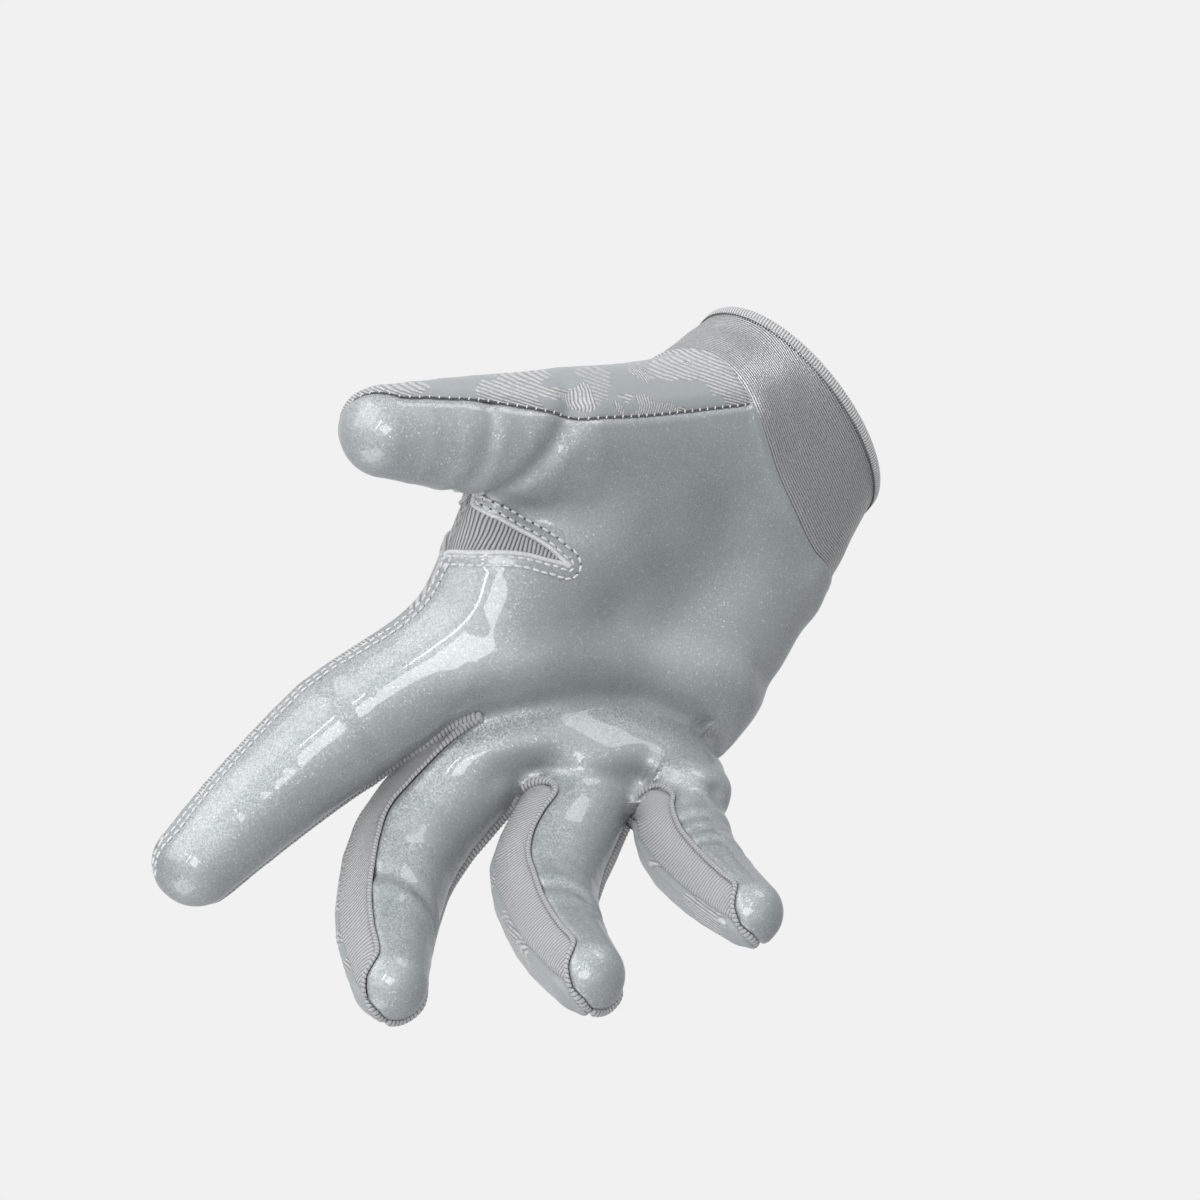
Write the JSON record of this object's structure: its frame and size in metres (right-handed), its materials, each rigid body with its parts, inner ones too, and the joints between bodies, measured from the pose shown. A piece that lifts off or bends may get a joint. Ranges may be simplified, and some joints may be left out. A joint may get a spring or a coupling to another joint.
{
  "type": "football receiver glove",
  "caption": "Right-hand receiver glove in its worn shape, with a coated palm, a woven back, knit strips between the fingers and a short oversewn cuff.",
  "frame": {"origin": "centre of the wrist opening, at the rim of the binding", "axes": "+Z out of the wrist opening along the forearm, palm facing -Y, thumb towards -X, little finger towards +X"},
  "size_m": [0.1297, 0.108, 0.186],
  "materials": {
    "silicone_palm": "glossy pearl grey silicone coat on cloth, with fine glitter",
    "jacquard_back": "woven grey cloth with raised ribbed patches",
    "rib_knit": "satin light grey knit with fine cross ribs",
    "web_knit": "coarse grey rib knit",
    "satin_cuff": "satin stretch knit with fine diagonal ribs",
    "binding_thread": "close oversewn thread"
  },
  "bodies": {
    "root": {"palm_skin": "silicone_palm", "back_panel": "jacquard_back", "gusset_index_middle": "rib_knit", "gusset_middle_ring": "rib_knit", "gusset_ring_little": "rib_knit", "web_gusset": "web_knit", "cuff": "satin_cuff", "cuff_binding": "binding_thread"}
  },
  "joints": []
}
